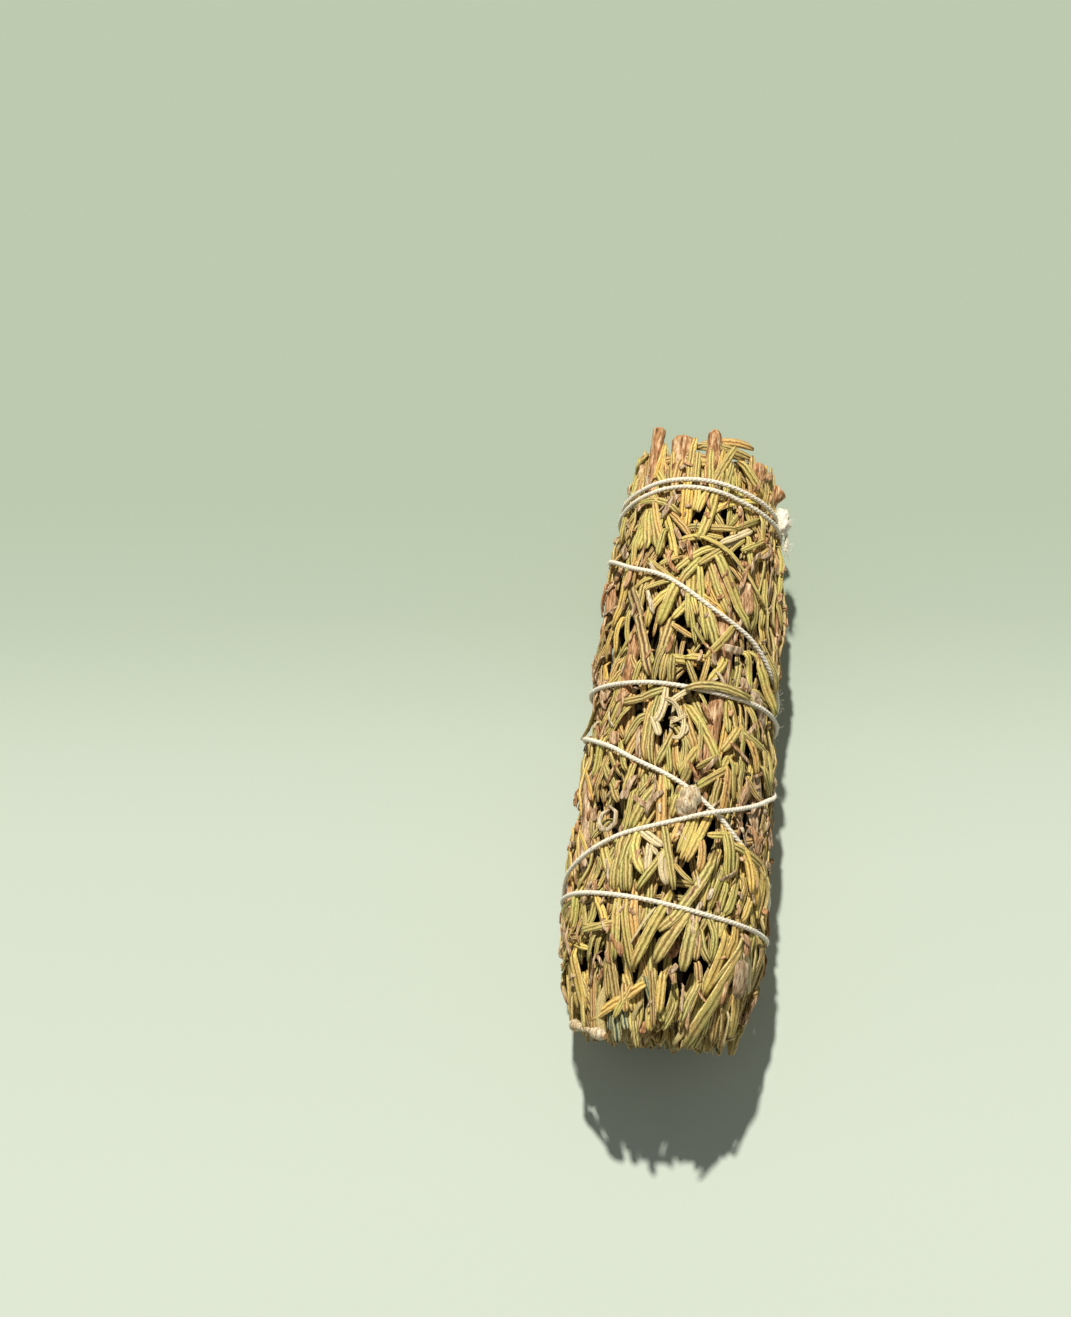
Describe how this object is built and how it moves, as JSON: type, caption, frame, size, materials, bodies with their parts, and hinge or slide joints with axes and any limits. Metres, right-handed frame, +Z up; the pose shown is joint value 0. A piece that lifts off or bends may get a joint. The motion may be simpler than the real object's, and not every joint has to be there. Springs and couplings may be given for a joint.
{
  "type": "herbal smudge stick",
  "caption": "Dried rosemary sprigs pressed side by side into a round bundle and bound along its length with one cotton string, lying on its side.",
  "frame": {"origin": "on the table under the middle of the stick, at the bottom centre of its box", "axes": "+Z up from the table, +Y along the stick towards the cut stems, leaf tips towards -Y, +X to the right seen from the leaf tips"},
  "size_m": [0.0338, 0.1081, 0.0329],
  "materials": {
    "rosemary": "dull, dry olive and tan needles",
    "inner_rosemary": "dull, dry, darker needles",
    "cotton": "undyed twisted cotton, slightly fuzzy"
  },
  "bodies": {
    "root": {"sprig_01": "rosemary", "sprig_02": "rosemary", "sprig_03": "rosemary", "sprig_04": "rosemary", "sprig_05": "rosemary", "sprig_06": "rosemary", "sprig_07": "rosemary", "sprig_08": "rosemary", "sprig_09": "rosemary", "sprig_10": "rosemary", "sprig_11": "rosemary", "sprig_12": "rosemary", "inner_sprig_1": "inner_rosemary", "inner_sprig_2": "inner_rosemary", "inner_sprig_3": "inner_rosemary", "inner_sprig_4": "inner_rosemary", "inner_sprig_5": "inner_rosemary", "binding_string": "cotton"}
  },
  "joints": []
}
